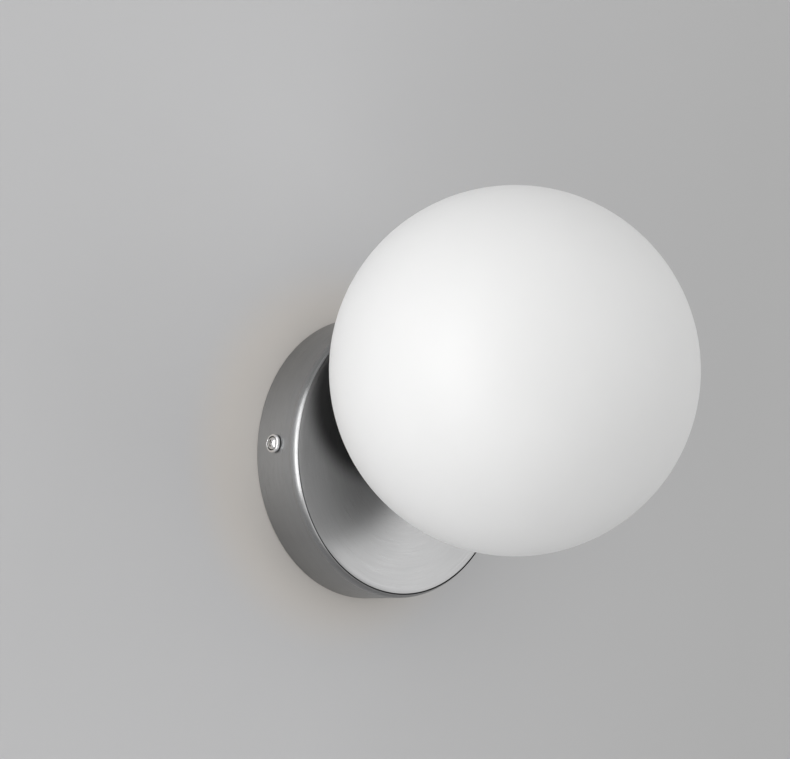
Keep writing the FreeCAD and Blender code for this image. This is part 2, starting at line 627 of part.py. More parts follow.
def lampholder_strap():
    """Steel strap screwed to the collar's floor, with two bent lugs hooked into the ceramic's grooves."""
    body = new_body("lampholder_strap")
    plate = new_sketch(body, "XY_Plane", at="-strap_sheet")
    rectangle(plate, "-strap_length / 2", "strap_length / 2", "-strap_width / 2", "strap_width / 2")
    pad(body, plate, "strap_sheet")
    wide = new_sketch(body, "XY_Plane", at="-strap_sheet")
    reach = "(holder_flats / 2 + strap_sheet)"
    rectangle(wide, "-strap_lug_width / 2", "strap_lug_width / 2", f"-{reach}", reach)
    pad(body, wide, "strap_sheet")
    for low, high, hook in (("holder_flats / 2", reach, "holder_flats / 2 - strap_sheet"),
                            (f"-{reach}", "-holder_flats / 2", "-holder_flats / 2 + strap_sheet")):
        lug = new_sketch(body, "XY_Plane", at="-strap_sheet")
        rectangle(lug, "-strap_lug_width / 2", "strap_lug_width / 2", low, high)
        pad(body, lug, "strap_sheet + strap_lug_reach")
        tip = new_sketch(body, "XY_Plane", at="strap_lug_reach - strap_sheet")
        ends = (hook, high) if value(hook) < value(high) and value(high) > 0 else (low, hook)
        rectangle(tip, "-strap_lug_width / 2", "strap_lug_width / 2", *ends)
        pad(body, tip, "strap_sheet")
    holes = new_sketch(body, "XY_Plane")
    circle(holes, "0", "0", "holder_boss / 2 + strap_play")
    for side in ("-holder_screw_spacing / 2", "holder_screw_spacing / 2"):
        circle(holes, side, "0", "holder_screw_diameter / 2 + strap_play")
    pocket(body, holes)
    return place(body, x=AXIS_X, depth=SEAT_DEPTH, up=AXIS_Z)


def lampholder_screws():
    """Two screws through the strap into the collar's floor."""
    screws = [slotted_screw(f"holder_{name}", "holder_head_diameter", "holder_head_height",
                            "holder_screw_diameter", "strap_sheet + collar_floor", x=side)
              for name, side in (("left", "-holder_screw_spacing / 2"), ("right", "holder_screw_spacing / 2"))]
    return place(group("lampholder_screws", screws), x=AXIS_X, depth=SEAT_DEPTH, up=AXIS_Z)


def bulb_base():
    """Moulded base of the capsule bulb, with the flat tongue that enters the lampholder."""
    body = new_body("bulb_base")
    wide = "(bulb_base_diameter / 2)"
    narrow = "(bulb_base_diameter / 2 - bulb_base_taper)"
    revolve(body, [("0", "0"), (narrow, "0"), (wide, "bulb_base_length / 2"), (wide, "bulb_base_length"),
                   ("0", "bulb_base_length")])
    tongue = new_sketch(body, "XY_Plane")
    rectangle(tongue, "-tongue_width / 2", "tongue_width / 2", "-tongue_thickness / 2", "tongue_thickness / 2")
    pad(body, tongue, "bulb_rest_gap + tongue_length - tongue_play", down=True)
    return place(body, x=AXIS_X, depth=BULB_DEPTH, up=AXIS_Z)


def bulb_pins():
    """Two wire loops below the tongue, one for each contact."""
    pins = []
    start = "(-bulb_rest_gap - tongue_length + tongue_play)"
    turn = f"({start} - pin_length + pin_loop / 2 + pin_wire / 2)"
    for name, side in (("left", "-pin_spacing / 2"), ("right", "pin_spacing / 2")):
        legs = [primitive("Cylinder", f"pin_{name}_{leg}", x=f"{side} + {shift}", z=turn,
                          Radius="pin_wire / 2", Height=f"{start} - {turn}")
                for leg, shift in (("a", "-pin_loop / 2"), ("b", "pin_loop / 2"))]
        bend = primitive("Torus", f"pin_{name}_bend", turn=Rotation(Vector(1, 0, 0), -90), x=side, z=turn,
                         Radius1="pin_loop / 2", Radius2="pin_wire / 2", Angle3="180")
        pins.append(fuse(f"pin_{name}", legs + [bend]))
    return place(group("bulb_pins", pins), x=AXIS_X, depth=BULB_DEPTH, up=AXIS_Z)


def bulb_cover():
    """Frosted cover of the bulb: a tube closed by a dome."""
    radius = "(bulb_diameter / 2)"
    straight = f"(bulb_length - bulb_base_length - {radius})"
    shells = []
    for name, r in (("outer", radius), ("inner", f"({radius} - bulb_wall)")):
        tube = primitive("Cylinder", f"cover_{name}_tube", Radius=r, Height=straight)
        dome = primitive("Sphere", f"cover_{name}_dome", z=straight, Radius=r, Angle1="0")
        shells.append(fuse(f"cover_{name}", [tube, dome]))
    cover = cut("bulb_cover", *shells)
    cover.Label = "bulb_cover"
    return place(cover, x=AXIS_X, depth=f"{BULB_DEPTH} + bulb_base_length", up=AXIS_Z)


def bulb_light_core():
    """Square column inside the cover that carries the light chips."""
    side = "core_diameter / sqrt(2)"
    column = centred_box("core_column", side, side, "core_length")
    foot = primitive("Cylinder", "core_foot", Radius="core_diameter / 2", Height="bulb_wall")
    core = fuse("bulb_light_core", [column, foot])
    core.Label = "bulb_light_core"
    return place(core, x=AXIS_X, depth=f"{BULB_DEPTH} + bulb_base_length", up=AXIS_Z)


def terminal_block():
    """Moulded three-pole block: a stepped bar with a conductor bore and two screw wells in each pole."""
    body = new_body("terminal_block")
    half = "(terminal_height / 2)"
    side = new_sketch(body, "YZ_Plane", at=f"-{TERMINAL_WIDTH} / 2")
    towers = f"({half} - terminal_step)"
    outline(side, [(f"-{half}", "0"), (half, "0"), (half, "terminal_foot"), (towers, "terminal_foot"),
                   (towers, "terminal_depth"), (f"-{towers}", "terminal_depth"),
                   (f"-{towers}", "terminal_foot"), (f"-{half}", "terminal_foot")])
    pad(body, side, TERMINAL_WIDTH)
    grooves = new_sketch(body, "XY_Plane", at="terminal_depth")
    for middle in ("-terminal_pitch / 2", "terminal_pitch / 2"):
        rectangle(grooves, f"{middle} - terminal_groove / 2", f"{middle} + terminal_groove / 2",
                  f"-{half}", half)
    pocket(body, grooves, "terminal_groove_depth")
    bores = new_sketch(body, "XZ_Plane")
    wells = new_sketch(body, "XY_Plane", at="terminal_depth")
    for pole in ("-terminal_pitch", "0", "terminal_pitch"):
        circle(bores, pole, "clamp_axis", "clamp_diameter / 2 + clamp_play")
        for row in ("-clamp_screw_spacing / 2", "clamp_screw_spacing / 2"):
            circle(wells, pole, row, "clamp_screw_diameter / 2 + clamp_screw_play")
    pocket(body, bores)
    pocket(body, wells, "terminal_depth - clamp_axis")
    fixing = new_sketch(body, "XY_Plane")
    circle(fixing, "terminal_pitch / 2", "0", "block_screw_diameter / 2 + block_screw_play")
    pocket(body, fixing)
    sink = new_sketch(body, "XY_Plane", at="terminal_depth")
    circle(sink, "terminal_pitch / 2", "0", "block_head_diameter / 2 + block_screw_play")
    pocket(body, sink, "terminal_groove_depth")
    return place(body, depth="bracket_sheet", up=TERMINAL_Y)


def terminal_clamps():
    """Three brass tubes inside the block, each tapped twice for its screws."""
    tubes = []
    length = "(terminal_height - 2 * clamp_end_gap)"
    along = Rotation(Vector(1, 0, 0), -90)
    for name, pole in (("left", "-terminal_pitch"), ("middle", "0"), ("right", "terminal_pitch")):
        start = f"-{length} / 2"
        outer = primitive("Cylinder", f"clamp_{name}_outer", along, x=pole, y=start, z="clamp_axis",
                          Radius="clamp_diameter / 2", Height=length)
        tools = [primitive("Cylinder", f"clamp_{name}_bore", along, x=pole, y=start, z="clamp_axis",
                           Radius="clamp_bore / 2", Height=length)]
        tools += [primitive("Cylinder", f"clamp_{name}_tap_{row}", x=pole, y=f"{sign}clamp_screw_spacing / 2",
                            z="clamp_axis", Radius="clamp_screw_diameter / 2 + thread_play",
                            Height="clamp_diameter")
                  for row, sign in (("low", "-"), ("high", ""))]
        tubes.append(cut(f"clamp_{name}", outer, fuse(f"clamp_{name}_tools", tools)))
    return place(group("terminal_clamps", tubes), depth="bracket_sheet", up=TERMINAL_Y)


def terminal_screws():
    """Six grub screws, standing in the wells and started in the tubes."""
    screws = []
    for name, pole in (("left", "-terminal_pitch"), ("middle", "0"), ("right", "terminal_pitch")):
        for row, sign in (("low", "-"), ("high", "")):
            spot = f"{sign}clamp_screw_spacing / 2"
            low = "(clamp_axis + clamp_bore / 4)"
            stem = primitive("Cylinder", f"grub_{name}_{row}", x=pole, y=spot, z=low,
                             Radius="clamp_screw_diameter / 2", Height="clamp_screw_length")
            blade = centred_box(f"grub_{name}_{row}_slot", "2 * clamp_screw_diameter", "slot_cut",
                                "2 * slot_cut_depth", x=pole, y=spot,
                                z=f"{low} + clamp_screw_length - slot_cut_depth")
            screws.append(cut(f"grub_{name}_{row}_screw", stem, blade))
    return place(group("terminal_screws", screws), depth="bracket_sheet", up=TERMINAL_Y)


def terminal_fixing_screw():
    """The screw that holds the block on the tab."""
    seat = "(terminal_depth - terminal_groove_depth)"
    screw = slotted_screw("block", "block_head_diameter", "block_head_height", "block_screw_diameter",
                          f"{seat} + bracket_sheet - tip_gap", z=seat)
    screw.Label = "terminal_fixing_screw"
    return place(screw, x="terminal_pitch / 2", depth="bracket_sheet", up=TERMINAL_Y)


def earth_screw():
    """Earth screw in the crossbar's drawn collar."""
    screw = slotted_screw("earth", "earth_head_diameter", "earth_head_height", "earth_screw_diameter",
                          f"earth_washer_sheet + {EARTH_SEAT} - tip_gap")
    screw.Label = "earth_screw"
    return place(screw, x="earth_x", depth=f"{EARTH_SEAT} + earth_washer_sheet")


def earth_washer():
    """Toothed washer under the earth screw."""
    body = new_body("earth_washer")
    disc = new_sketch(body, "XY_Plane")
    circle(disc, "0", "0", "earth_washer_diameter / 2")
    pad(body, disc, "earth_washer_sheet")
    hole = new_sketch(body, "XY_Plane")
    circle(hole, "0", "0", "earth_screw_diameter / 2 + earth_washer_play")
    pocket(body, hole)
    notch = new_sketch(body, "XY_Plane", at="earth_washer_sheet")
    edge = "(earth_washer_diameter / 2)"
    rectangle(notch, f"{edge} - earth_tooth", f"{edge} + earth_tooth", "-earth_tooth / 2", "earth_tooth / 2")
    first = pocket(body, notch, "earth_washer_sheet")
    pattern = body.newObject("PartDesign::PolarPattern", "earth_washer_teeth")
    pattern.Originals = [first]
    pattern.Axis = (notch, ["N_Axis"])
    pattern.Angle = 360
    pattern.Occurrences = 8
    body.Tip = pattern
    doc.recompute()
    return place(body, x="earth_x", depth=EARTH_SEAT)


LEFT_SEAT = f"-({CANOPY_R} + cup_gap)"
RIGHT_SEAT = f"({CANOPY_R} + cup_gap)"
PIECES = [
    canopy(),
    mounting_bracket(),
    cable_grommet(),
    side_washer("side_washer_left", LEFT_OUT, LEFT_SEAT),
    side_washer("side_washer_right", RIGHT_OUT, RIGHT_SEAT),
    side_screw("side_screw_left", LEFT_OUT, LEFT_SEAT),
    side_screw("side_screw_right", RIGHT_OUT, RIGHT_SEAT),
    fitter_collar(),
    fitter_ring_nut(),
    globe_seal(),
    globe(),
    lampholder_body(),
    lampholder_contacts(),
    lampholder_strap(),
    lampholder_screws(),
    bulb_base(),
    bulb_pins(),
    bulb_cover(),
    bulb_light_core(),
    terminal_block(),
    terminal_clamps(),
    terminal_screws(),
    terminal_fixing_screw(),
    earth_screw(),
    earth_washer(),
]
doc.recompute()

for thing in doc.Objects:
    if "Invalid" in thing.State or "Error" in thing.State:
        raise RuntimeError(f"{thing.Label} did not build")
for piece in PIECES:
    if piece.Shape.isNull() or not piece.Shape.isValid():
        raise RuntimeError(f"{piece.Label} has no valid shape")

os.makedirs("parts", exist_ok=True)
for piece in PIECES:
    piece.Shape.exportStep(f"parts/{piece.Label}.step")
    print(f"{piece.Label}: {len(piece.Shape.Solids)} solids, {piece.Shape.Volume:.1f} cubic mm")
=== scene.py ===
import math

import bmesh
import bpy
from mathutils import Matrix, Vector


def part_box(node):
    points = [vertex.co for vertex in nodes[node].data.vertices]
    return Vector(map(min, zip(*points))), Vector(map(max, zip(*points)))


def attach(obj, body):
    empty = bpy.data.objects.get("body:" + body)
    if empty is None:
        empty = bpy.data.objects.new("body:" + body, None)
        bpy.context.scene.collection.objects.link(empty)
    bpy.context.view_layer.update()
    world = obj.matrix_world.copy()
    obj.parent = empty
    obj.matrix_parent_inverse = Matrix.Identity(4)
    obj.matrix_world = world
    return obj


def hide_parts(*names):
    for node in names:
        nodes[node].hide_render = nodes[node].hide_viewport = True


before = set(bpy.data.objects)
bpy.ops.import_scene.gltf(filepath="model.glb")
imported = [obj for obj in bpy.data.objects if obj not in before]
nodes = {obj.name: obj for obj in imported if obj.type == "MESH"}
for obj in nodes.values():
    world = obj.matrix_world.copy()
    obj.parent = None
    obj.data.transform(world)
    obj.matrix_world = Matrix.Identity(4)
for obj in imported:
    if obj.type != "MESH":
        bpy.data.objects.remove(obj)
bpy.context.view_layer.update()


# The crossbar is stamped from zinc-plated steel strip, and an ear is bent out at each end for the side
# screws. Two wall screws hold it through its slots. The plating is bright and a little cloudy, with the
# grain of the strip. The ring nut and the lampholder's strap are of the same metal.

CLOUD_LOW, CLOUD_HIGH, CLOUD_ROUGHNESS = 0.3, 0.7, 0.55


def new_finish(name, colour, **shader_values):
    """A material with one shader; the words of shader_values are its sockets, with _ for a space."""
    made = bpy.data.materials.new(name)
    made.use_nodes = True
    shader = made.node_tree.nodes["Principled BSDF"]
    shader.inputs["Base Color"].default_value = (*colour, 1)
    for word, amount in shader_values.items():
        shader.inputs[word.replace("_", " ")].default_value = amount
    return made


def node(finish, kind, links=None, **settings):
    """A node in a finish; links joins its inputs, by number or name, to other outputs or plain values."""
    made = finish.node_tree.nodes.new("ShaderNode" + kind)
    for word, setting in settings.items():
        setattr(made, word, setting)
    for socket, source in (links or {}).items():
        if isinstance(source, bpy.types.NodeSocket):
            finish.node_tree.links.new(source, made.inputs[socket])
        else:
            made.inputs[socket].default_value = source
    return made


def drive(finish, word, source):
    """Joins an output to a socket of the finish's shader."""
    finish.node_tree.links.new(source, finish.node_tree.nodes["Principled BSDF"].inputs[word])


def place_on(finish):
    """Place on the piece, in metres."""
    return node(finish, "TexCoord").outputs["Object"]


def clouds(finish, place, scale, detail):
    """Soft uneven patches, 0 to 1, mostly between CLOUD_LOW and CLOUD_HIGH."""
    links = {"Vector": place, "Scale": scale, "Detail": detail, "Roughness": CLOUD_ROUGHNESS}
    return node(finish, "TexNoise", links).outputs["Fac"]


def grain(finish, per_metre, detail=4.0):
    """Soft streaks; per_metre says how many come along each axis."""
    place = node(finish, "VectorMath", {0: place_on(finish), 1: per_metre}, operation="MULTIPLY").outputs[0]
    return clouds(finish, place, 1.0, detail)


def patches(finish, per_metre, detail=4.0):
    """Soft patches of one size all ways."""
    return clouds(finish, place_on(finish), per_metre, detail)


def between(finish, amount, low, high, start=CLOUD_LOW, stop=CLOUD_HIGH):
    """The amount from start to stop, spread over low to high."""
    links = {"Value": amount, "From Min": start, "From Max": stop, "To Min": low, "To Max": high}
    return node(finish, "MapRange", links).outputs["Result"]


def two_tone(finish, amount, first, second):
    """Colour that goes from first at CLOUD_LOW to second at CLOUD_HIGH."""
    ramp = node(finish, "ValToRGB", {"Fac": amount})
    ramp.color_ramp.elements[0].position = CLOUD_LOW
    ramp.color_ramp.elements[1].position = CLOUD_HIGH
    ramp.color_ramp.elements[0].color = (*first, 1)
    ramp.color_ramp.elements[1].color = (*second, 1)
    return ramp.outputs["Color"]


def relief(finish, height, depth):
    """Surface relief of that depth in metres."""
    bump = node(finish, "Bump", {"Height": height, "Distance": depth, "Strength": 1.0})
    drive(finish, "Normal", bump.outputs["Normal"])


def wear(piece, finish):
    """Gives a piece its finish, on material slots linked to the object."""
    if not piece.data.materials:
        piece.data.materials.append(finish)
    for spot in piece.material_slots:
        spot.link = "OBJECT"
        spot.material = finish


zinc = new_finish("bright_zinc", (0.62, 0.63, 0.64), Metallic=1.0, Roughness=0.34)
zinc_grain = grain(zinc, (60.0, 900.0, 900.0))
zinc_cloud = patches(zinc, 130.0)
drive(zinc, "Base Color", two_tone(zinc, zinc_cloud, (0.56, 0.575, 0.60), (0.68, 0.675, 0.65)))
drive(zinc, "Roughness", between(zinc, zinc_grain, 0.27, 0.42))
relief(zinc, zinc_grain, 0.00003)
for name in ("mounting_bracket", "fitter_ring_nut", "lampholder_strap"):
    wear(nodes[name], zinc)


# The bush in the crossbar's hub is moulded in black rubber and lines the edge where the cable comes
# through. It is pressed into the hole by hand. Its skin is matt with a fine orange-peel surface.

rubber = new_finish("black_rubber", (0.035, 0.035, 0.035), Roughness=0.78)
rubber_peel = patches(rubber, 2600.0)
drive(rubber, "Base Color", two_tone(rubber, rubber_peel, (0.028, 0.028, 0.029), (0.045, 0.044, 0.043)))
drive(rubber, "Roughness", between(rubber, rubber_peel, 0.70, 0.86))
relief(rubber, rubber_peel, 0.00004)
wear(nodes["cable_grommet"], rubber)


# The three-pole terminal block is moulded in off-white plastic round three brass tubes with zinc grub
# screws. One longer screw through the block holds it on the crossbar's tab.

moulded = new_finish("terminal_plastic", (0.80, 0.79, 0.75), Roughness=0.48, Subsurface_Weight=0.08,
                     Subsurface_Scale=0.001)
moulded_skin = patches(moulded, 1500.0)
moulded_cloud = patches(moulded, 90.0)
drive(moulded, "Base Color", two_tone(moulded, moulded_cloud, (0.78, 0.77, 0.725), (0.82, 0.81, 0.775)))
drive(moulded, "Roughness", between(moulded, moulded_skin, 0.42, 0.56))
relief(moulded, moulded_skin, 0.00002)
wear(nodes["terminal_block"], moulded)

brass = new_finish("plain_brass", (0.74, 0.58, 0.28), Metallic=1.0, Roughness=0.3)
brass_tarnish = patches(brass, 320.0, 8.0)
drive(brass, "Base Color", two_tone(brass, brass_tarnish, (0.60, 0.44, 0.20), (0.80, 0.64, 0.33)))
drive(brass, "Roughness", between(brass, brass_tarnish, 0.40, 0.24))
relief(brass, grain(brass, (900.0, 90.0, 900.0)), 0.00002)
wear(nodes["terminal_clamps"], brass)

screw_zinc = new_finish("screw_zinc", (0.66, 0.67, 0.68), Metallic=1.0, Roughness=0.26)
screw_cloud = patches(screw_zinc, 700.0, 6.0)
drive(screw_zinc, "Base Color", two_tone(screw_zinc, screw_cloud, (0.57, 0.585, 0.61), (0.71, 0.71, 0.69)))
drive(screw_zinc, "Roughness", between(screw_zinc, screw_cloud, 0.20, 0.36))
relief(screw_zinc, screw_cloud, 0.00002)
for name in ("terminal_screws", "terminal_fixing_screw", "lampholder_screws"):
    wear(nodes[name], screw_zinc)


# The earth screw is brass and stands in a drawn collar of the crossbar, beside the hub.
# The toothed washer under its head is spring steel and bites through the plating.

wear(nodes["earth_screw"], brass)

spring = new_finish("spring_steel", (0.72, 0.72, 0.70), Metallic=1.0, Roughness=0.24)
spring_cloud = patches(spring, 900.0)
drive(spring, "Base Color", two_tone(spring, spring_cloud, (0.62, 0.62, 0.61), (0.76, 0.76, 0.74)))
drive(spring, "Roughness", between(spring, spring_cloud, 0.18, 0.32))
wear(nodes["earth_washer"], spring)


# The canopy is a pan drawn from steel sheet, nickel plated and brushed while it turned on a lathe, so the
# marks run round its side and in rings on its face. Its rolled edge is burnished and ends in a narrow seam
# with painted shadow below, and the face has painted shade round the collar, deep under the globe.

BRUSH_LINES, BRUSH_LENGTH, BRUSH_DETAIL = 5200.0, 2.2, 6.0
RIPPLE_LINES, RIPPLE_LENGTH, RIPPLE_DETAIL = 1600.0, 3.5, 3.0
RIPPLE_SHARE = 0.26
BRUSH_CUT = 0.000012
ROUGHER, FINER = 0.07, 0.05
QUARTER_TURN = 0.25


def vector(finish, operation, first, second=None):
    """Arithmetic on vectors, under Blender's name for it."""
    links = {0: first} if second is None else {0: first, 1: second}
    return node(finish, "VectorMath", links, operation=operation).outputs[0]


def scaled(finish, first, amount):
    """A vector or colour times an amount."""
    return node(finish, "VectorMath", {0: first, "Scale": amount}, operation="SCALE").outputs[0]


def number(finish, operation, first, second=0.0):
    """Arithmetic on amounts, under Blender's name for it."""
    return node(finish, "Math", {0: first, 1: second}, operation=operation).outputs[0]


def off_axis(finish, centre, across):
    """How far a place lies off an axis through centre; across is 0 along that axis and 1 square to it."""
    return vector(finish, "MULTIPLY", vector(finish, "SUBTRACT", place_on(finish), centre), across)


def reach(finish, centre, across=(1.0, 0.0, 1.0)):
    """Distance from that axis, which points out of the wall if nothing else is said."""
    off = off_axis(finish, centre, across)
    return node(finish, "VectorMath", {0: off}, operation="LENGTH").outputs["Value"]


def along(finish, axis):
    """Place along one axis."""
    return node(finish, "SeparateXYZ", {0: place_on(finish)}).outputs[axis]


def rings_round(finish, centre, lines, length):
    """Place in which a pattern becomes thin marks round an axis; a larger length makes shorter marks."""
    round_it = vector(finish, "NORMALIZE", off_axis(finish, centre, (1.0, 0.0, 1.0)))
    across = number(finish, "ADD", reach(finish, centre), along(finish, "Y"))
    line = node(finish, "CombineXYZ", {"Y": number(finish, "MULTIPLY", across, lines)}).outputs[0]
    return vector(finish, "ADD", scaled(finish, round_it, length), line)


def brushed(name, light, dark, roughness, shine, centre=(0.0, 0.0, 0.0)):
    """Metal brushed round an axis; shine is how far the gloss is drawn out across the marks."""
    made = new_finish(name, light, Metallic=1.0, Roughness=roughness, Anisotropic=shine,
                      Anisotropic_Rotation=QUARTER_TURN)
    marks = clouds(made, rings_round(made, centre, BRUSH_LINES, BRUSH_LENGTH), 1.0, BRUSH_DETAIL)
    ripple = clouds(made, rings_round(made, centre, RIPPLE_LINES, RIPPLE_LENGTH), 1.0, RIPPLE_DETAIL)
    mean = node(made, "Mix", {0: RIPPLE_SHARE, 2: marks, 3: ripple}).outputs[0]
    drive(made, "Base Color", two_tone(made, mean, dark, light))
    drive(made, "Roughness", between(made, mean, roughness + ROUGHER, roughness - FINER))
    relief(made, mean, BRUSH_CUT)
    drive(made, "Tangent", node(made, "Tangent", direction_type="RADIAL", axis="Y").outputs[0])
    return made


MM = 0.001
SHARP_OVER = 30.0


def new_piece(name, mesh, finish, body):
    """A piece from a mesh, shaded smooth up to an angle, with its finish and the body that it rides on."""
    data = bpy.data.meshes.new(name)
    mesh.to_mesh(data)
    mesh.free()
    data.shade_smooth()
    data.set_sharp_from_angle(angle=math.radians(SHARP_OVER))
    piece = bpy.data.objects.new(name, data)
    bpy.context.scene.collection.objects.link(piece)
    wear(piece, finish)
    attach(piece, body)
    return piece


def arc(centre_r, centre_h, radius, start, stop, steps):
    """Points of a round stretch of a profile, from one angle to another in degrees."""
    angles = [math.radians(start + (stop - start) * step / steps) for step in range(steps + 1)]
    return [(centre_r + radius * math.cos(turn), centre_h + radius * math.sin(turn)) for turn in angles]


def turned(profile, corners=96):
    """A mesh turned from a closed outline of (radius, height) points in millimetres."""
    mesh = bmesh.new()
    rings = []
    for radius, height in profile:
        ring = []
        for corner in range(corners if radius else 1):
            angle = 2 * math.pi * corner / corners
            spot = (MM * radius * math.cos(angle), MM * radius * math.sin(angle), MM * height)
            ring.append(mesh.verts.new(spot))
        rings.append(ring)
    for first, second in zip(rings, rings[1:] + rings[:1]):
        if len(first) + len(second) == 2:
            continue
        for i in range(corners):
            j = (i + 1) % corners
            face = [first[i % len(first)], first[j % len(first)]]
            face += [second[j % len(second)], second[i % len(second)]]
            mesh.faces.new(list(dict.fromkeys(face)))
    bmesh.ops.recalc_face_normals(mesh, faces=mesh.faces)
    return mesh


def drill(radius, start, stop, corners=96):
    """A round punch along Z, in millimetres."""
    return turned([(0.0, start), (radius, start), (radius, stop), (0.0, stop)], corners)


def punched(piece, punch_mesh):
    """Cuts a piece with a punch and shades it again."""
    punch = bpy.data.objects.new("punch", bpy.data.meshes.new("punch"))
    punch_mesh.to_mesh(punch.data)
    punch_mesh.free()
    bpy.context.scene.collection.objects.link(punch)
    cut = piece.modifiers.new("punched", "BOOLEAN")
    cut.operation = "DIFFERENCE"
    cut.solver = "EXACT"
    cut.object = punch
    shaped = bpy.data.meshes.new_from_object(piece.evaluated_get(bpy.context.evaluated_depsgraph_get()))
    piece.modifiers.clear()
    bpy.data.objects.remove(punch)
    piece.data = shaped
    piece.data.shade_smooth()
    piece.data.set_sharp_from_angle(angle=math.radians(SHARP_OVER))


# The pan's outline, in millimetres and degrees. Its heights are measured from the wall.
canopy_low, canopy_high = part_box("canopy")
CANOPY_RADIUS, CANOPY_DEPTH = canopy_high.x / MM, -canopy_low.y / MM
SHEET = 1.0
RIM_ROUND, RIM_CREASE = 6.0, 50.0
RIM_ARC_R = CANOPY_RADIUS - RIM_ROUND
RIM_ARC_DEPTH = CANOPY_DEPTH - RIM_ROUND * math.cos(math.radians(RIM_CREASE))
INSIDE_CREASE = math.degrees(math.acos((CANOPY_DEPTH - SHEET - RIM_ARC_DEPTH) / (RIM_ROUND - SHEET)))
SEAM_WIDTH, SEAM_DEPTH = 0.45, 0.50
SEAM_OUTER = RIM_ARC_R + RIM_ROUND * math.sin(math.radians(RIM_CREASE))
SEAM_MIDDLE = SEAM_OUTER - SEAM_WIDTH / 2
SEAM_INNER = SEAM_OUTER - SEAM_WIDTH
FACE_EDGE, FACE_EDGE_TILT = 1.6, 14.0
FACE_ARC = FACE_EDGE / math.sin(math.radians(FACE_EDGE_TILT))
RIM_STEPS, FACE_EDGE_STEPS, INSIDE_STEPS = 16, 6, 10
PAN_CORNERS = 288

canopy_profile = [(CANOPY_RADIUS, 0.0)]
canopy_profile += arc(RIM_ARC_R, RIM_ARC_DEPTH, RIM_ROUND, 0, 90 - RIM_CREASE, RIM_STEPS)
canopy_profile += [(SEAM_MIDDLE, CANOPY_DEPTH - SEAM_DEPTH)]
canopy_profile += arc(SEAM_INNER - FACE_EDGE, CANOPY_DEPTH - FACE_ARC, FACE_ARC,
                      90 - FACE_EDGE_TILT, 90, FACE_EDGE_STEPS)
canopy_profile += [(0.0, CANOPY_DEPTH), (0.0, CANOPY_DEPTH - SHEET)]
canopy_profile += arc(RIM_ARC_R, RIM_ARC_DEPTH, RIM_ROUND - SHEET, 90 - INSIDE_CREASE, 0, INSIDE_STEPS)
canopy_profile += [(CANOPY_RADIUS - SHEET, 0.0)]

nickel = brushed("brushed_nickel", (0.494, 0.495, 0.497), (0.428, 0.429, 0.431), 0.30, 0.75)
from_middle = reach(nickel, (0.0, 0.0, 0.0))
out_of_wall = along(nickel, "Y")
up = along(nickel, "Z")

# Two places of painted shade on the face, for the globe's shadow and its dark reflection, in millimetres:
# their middle across and up, how far they stay full, where they end, and their tone. The side has painted
# shade above and below its screws; its places are in metres.
COLLAR_PAINTED_SHADE = (-21.6, 20.6, 25.5, 37.0, 0.175)
LOWER_PAINTED_SHADE = (-18.4, -18.9, 3.0, 31.0, 0.67)
FACE_SKIN, FACE_BEND = 0.0002, 0.0007
SIDE_TONE, SIDE_PAINTED_SHADE_TONE = 0.96, 0.72
SIDE_WITHIN, SIDE_PAINTED_SHADE_BEYOND = 0.008, 0.038


def tone_at(finish, centre_x, centre_z, within, beyond, tone):
    """Tone round a place on the face: tone up to one distance, 1 beyond another, in millimetres."""
    off = reach(finish, (MM * centre_x, 0.0, MM * centre_z))
    spread = {"Value": off, "From Min": MM * within, "From Max": MM * beyond, "To Min": tone, "To Max": 1.0}
    return node(finish, "MapRange", spread, interpolation_type="SMOOTHSTEP").outputs["Result"]


# Painted shade: the face's colour is darkened round the collar and below it.
face_painted_shade = number(nickel, "MULTIPLY", tone_at(nickel, *COLLAR_PAINTED_SHADE), tone_at(nickel, *LOWER_PAINTED_SHADE))
on_face = between(nickel, out_of_wall, 1.0, 0.0, canopy_low.y + FACE_SKIN, canopy_low.y + FACE_BEND)
off_middle = number(nickel, "ABSOLUTE", up)
# Painted shade: the side's colour is darkened above and below its screws.
side_painted_shade = between(nickel, off_middle, SIDE_TONE, SIDE_PAINTED_SHADE_TONE, SIDE_WITHIN, SIDE_PAINTED_SHADE_BEYOND)
shade = between(nickel, on_face, side_painted_shade, face_painted_shade, 0.0, 1.0)

# The seam has painted shadow: it is coloured dark on its lower part, and only near its mouth. Places are in
# metres.
SEAM_SHADOW_TONE = 0.03
SEAM_BLUR = 0.0001
SEAM_SHADOW_BELOW, SEAM_UNSHADED_ABOVE = -0.016, 0.003
SEAM_SHADOW_TO, SEAM_UNSHADED_FROM = 0.0007, 0.0009
seam_in, seam_out = MM * SEAM_INNER, MM * SEAM_OUTER
inside_seam = between(nickel, from_middle, 1.0, 0.0, seam_in - SEAM_BLUR, seam_in)
outside_seam = between(nickel, from_middle, 0.0, 1.0, seam_out, seam_out + SEAM_BLUR)
seam_unshaded = between(nickel, number(nickel, "MAXIMUM", inside_seam, outside_seam), SEAM_SHADOW_TONE, 1.0, 0.0, 1.0)
seam_unshaded_above = between(nickel, up, 0.0, 1.0, SEAM_SHADOW_BELOW, SEAM_UNSHADED_ABOVE)
seam_unshaded_behind = between(nickel, out_of_wall, 0.0, 1.0, canopy_low.y + SEAM_SHADOW_TO,
                       canopy_low.y + SEAM_UNSHADED_FROM)
seam_shadow = number(nickel, "MAXIMUM", number(nickel, "MAXIMUM", seam_unshaded, seam_unshaded_above), seam_unshaded_behind)
